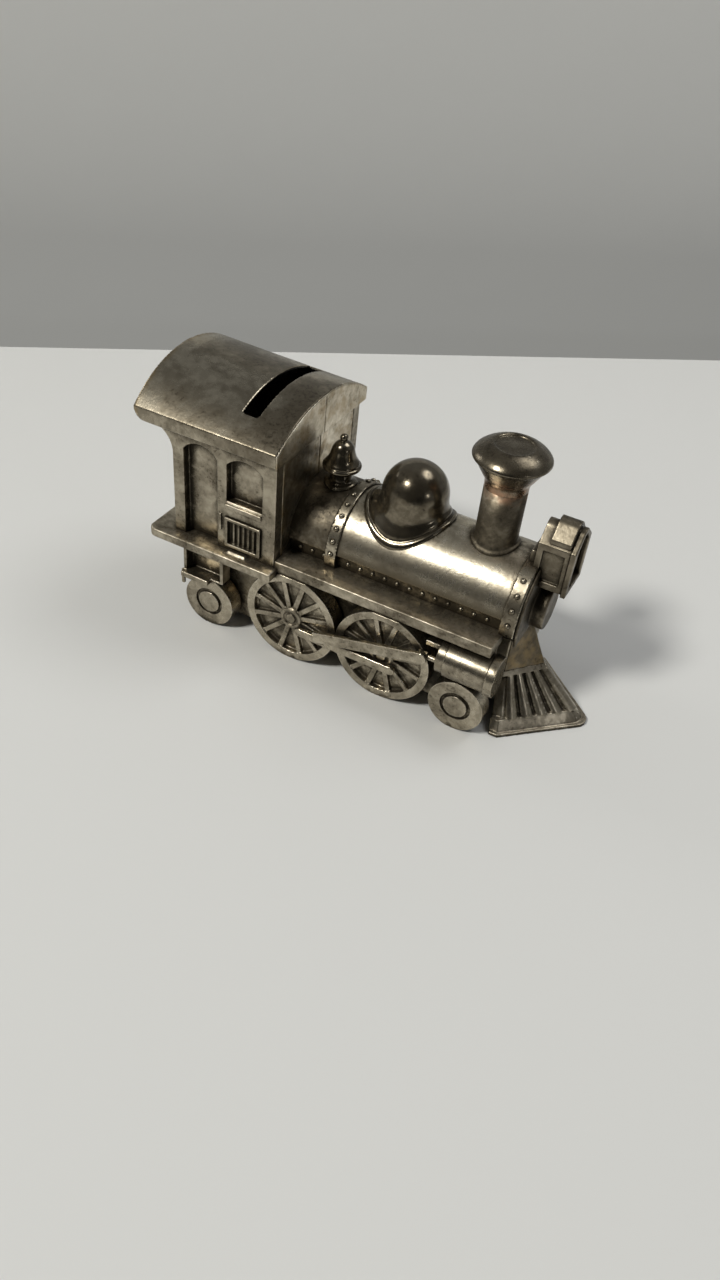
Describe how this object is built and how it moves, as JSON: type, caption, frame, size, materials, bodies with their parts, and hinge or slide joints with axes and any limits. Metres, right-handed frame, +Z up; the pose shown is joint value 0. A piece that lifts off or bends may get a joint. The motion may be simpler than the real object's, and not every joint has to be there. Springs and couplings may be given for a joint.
{
  "type": "toy train locomotive",
  "caption": "Cast metal coin bank in the shape of a steam locomotive, with a coin slot across the cab roof and a pull-out stopper in the base.",
  "frame": {"origin": "under the middle of the whole length, on the plane that the wheels and the pilot stand on", "axes": "+X points forward along the locomotive, +Y to its left, +Z up"},
  "size_m": [0.1497, 0.058, 0.0854],
  "materials": {
    "aged_plate": "aged silver plate, satin with brown-grey tarnish",
    "bright_plate": "silver plate polished by handling",
    "tarnished_plate": "dark brown tarnish in the recesses",
    "stopper_rubber": "matt black"
  },
  "bodies": {
    "bank": {"base_plate": "tarnished_plate", "bell": "bright_plate", "bell_stand": "aged_plate", "boiler_barrel": "bright_plate", "boiler_cradle_left": "tarnished_plate", "boiler_cradle_right": "tarnished_plate", "cab_deck": "aged_plate", "cab_front_left": "aged_plate", "cab_front_right": "aged_plate", "cab_rear_panel": "aged_plate", "cab_roof": "aged_plate", "cab_side_left": "aged_plate", "cab_side_right": "aged_plate", "cab_step_left": "aged_plate", "cab_step_right": "aged_plate", "coupling_rod_left": "aged_plate", "coupling_rod_right": "aged_plate", "cylinder_left": "bright_plate", "cylinder_right": "bright_plate", "firebox_wrapper": "aged_plate", "flank_rivets_left": "aged_plate", "flank_rivets_right": "aged_plate", "frame_front_block": "tarnished_plate", "frame_rear_block": "tarnished_plate", "frame_side_left": "tarnished_plate", "frame_side_right": "tarnished_plate", "front_band_rivets": "aged_plate", "front_boiler_band": "bright_plate", "front_drive_wheel_left": "aged_plate", "front_drive_wheel_right": "aged_plate", "front_wheel_left": "aged_plate", "front_wheel_right": "aged_plate", "lamp_bezel": "aged_plate", "lamp_bracket": "tarnished_plate", "lamp_case": "aged_plate", "lamp_vent": "aged_plate", "main_rod_left": "aged_plate", "main_rod_right": "aged_plate", "pilot": "aged_plate", "piston_rod_left": "tarnished_plate", "piston_rod_right": "tarnished_plate", "prow": "tarnished_plate", "rear_band_rivets": "aged_plate", "rear_boiler_band": "bright_plate", "rear_drive_wheel_left": "aged_plate", "rear_drive_wheel_right": "aged_plate", "rear_wheel_left": "aged_plate", "rear_wheel_right": "aged_plate", "running_board_left": "aged_plate", "running_board_right": "aged_plate", "side_grille_left": "aged_plate", "side_grille_right": "aged_plate", "slide_bar_left": "tarnished_plate", "slide_bar_right": "tarnished_plate", "smokebox_front": "aged_plate", "smokestack": "bright_plate", "stack_cap": "bright_plate", "steam_dome": "bright_plate"},
    "stopper": {"coin_stopper": "stopper_rubber"}
  },
  "joints": [
    {"name": "stopper_pull", "type": "slide", "parent": "bank", "child": "stopper", "axis": [0, 0, -1], "range_m": [0, 0.008]}
  ]
}
